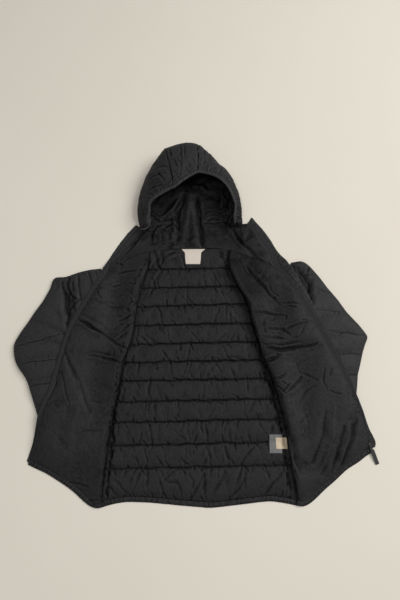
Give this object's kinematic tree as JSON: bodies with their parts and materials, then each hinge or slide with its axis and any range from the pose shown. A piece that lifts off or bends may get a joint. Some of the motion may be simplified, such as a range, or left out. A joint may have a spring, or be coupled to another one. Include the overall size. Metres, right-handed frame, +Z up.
{
  "type": "quilted hooded jacket",
  "caption": "Hooded quilted jacket laid open on its back, lining up: fronts folded out over bent padded sleeves, hood standing a little, with a bound face opening.",
  "frame": {"origin": "on the surface that the jacket lies on, under the middle of its footprint", "axes": "+Z up out of the surface, +Y from the hem towards the hood, +X towards the wearer's left"},
  "size_m": [1.0034, 1.036, 0.0945],
  "materials": {
    "back": "satin lining nylon, quilted",
    "hem_band_back": "gathered nylon band",
    "sleeve_right": "satin nylon, quilted",
    "sleeve_left": "satin nylon, quilted",
    "hood_side_right": "satin nylon",
    "hood_centre": "satin nylon",
    "hood_side_left": "satin nylon",
    "hood_binding": "narrow bound edge",
    "front_right": "satin lining nylon",
    "front_left": "satin lining nylon",
    "hem_band_right": "gathered nylon band",
    "hem_band_left": "gathered nylon band",
    "zip_tape_right": "woven zip tape",
    "storm_flap": "satin nylon",
    "zip_tape_left": "woven zip tape",
    "neck_label": "woven label, blank",
    "care_label_large": "satin label, blank",
    "care_label_small": "satin label, blank",
    "zip_slider": "dark plated metal",
    "zip_pull": "woven pull tab"
  },
  "bodies": {
    "jacket": {"back": "back", "hem_band_back": "hem_band_back", "sleeve_right": "sleeve_right", "sleeve_left": "sleeve_left", "hood_side_right": "hood_side_right", "hood_centre": "hood_centre", "hood_side_left": "hood_side_left", "hood_binding": "hood_binding", "front_right": "front_right", "front_left": "front_left", "hem_band_right": "hem_band_right", "hem_band_left": "hem_band_left", "zip_tape_right": "zip_tape_right", "storm_flap": "storm_flap", "zip_tape_left": "zip_tape_left", "neck_label": "neck_label", "care_label_large": "care_label_large", "care_label_small": "care_label_small", "zip_slider": "zip_slider"},
    "pull": {"zip_pull": "zip_pull"}
  },
  "joints": [
    {"name": "pull_hinge", "type": "hinge", "parent": "jacket", "child": "pull", "pos_m": [0.48129, -0.36736, 0.00835], "axis": [-0.9397, -0.342, 0], "range_deg": [0, 130]}
  ]
}
